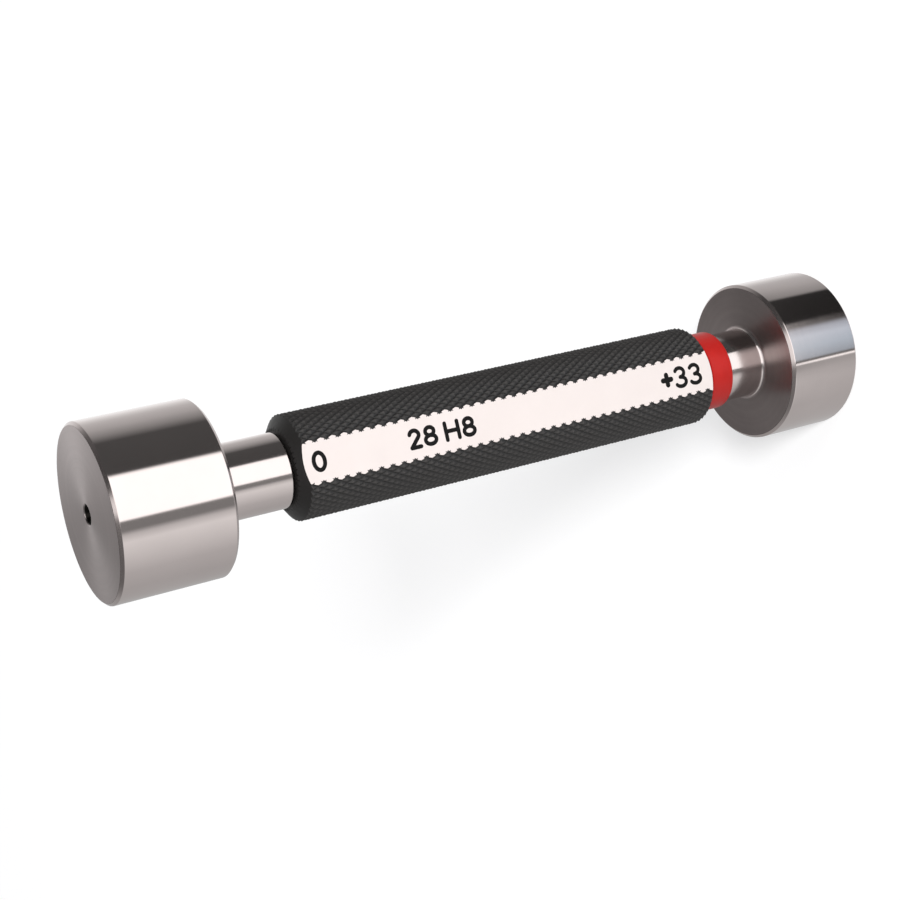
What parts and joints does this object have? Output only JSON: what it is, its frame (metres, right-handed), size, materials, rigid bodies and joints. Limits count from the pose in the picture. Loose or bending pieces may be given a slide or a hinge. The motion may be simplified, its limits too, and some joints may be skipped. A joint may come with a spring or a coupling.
{
  "type": "limit plug gauge",
  "caption": "Double-ended limit plug gauge: a long go plug and a shorter no-go plug on taper shanks in a knurled handle with a marking flat and a red ring.",
  "frame": {"origin": "centre of the no-go plug's end face, which the gauge stands on", "axes": "+Z along the gauge's axis from the no-go end to the go end; the handle's marking flat faces -Y"},
  "size_m": [0.028, 0.028, 0.138],
  "materials": {
    "gauge_steel": "hardened steel, ground and lapped bright on the plugs, fine turned on the end faces and necks",
    "black_handle": "diamond knurled and black anodised, with a bare milled flat for the size marks",
    "red_ring": "smooth red plastic, semi-matt"
  },
  "bodies": {
    "root": {"no_go_member": "gauge_steel", "marker_ring": "red_ring", "handle": "black_handle", "go_member": "gauge_steel"}
  },
  "joints": []
}
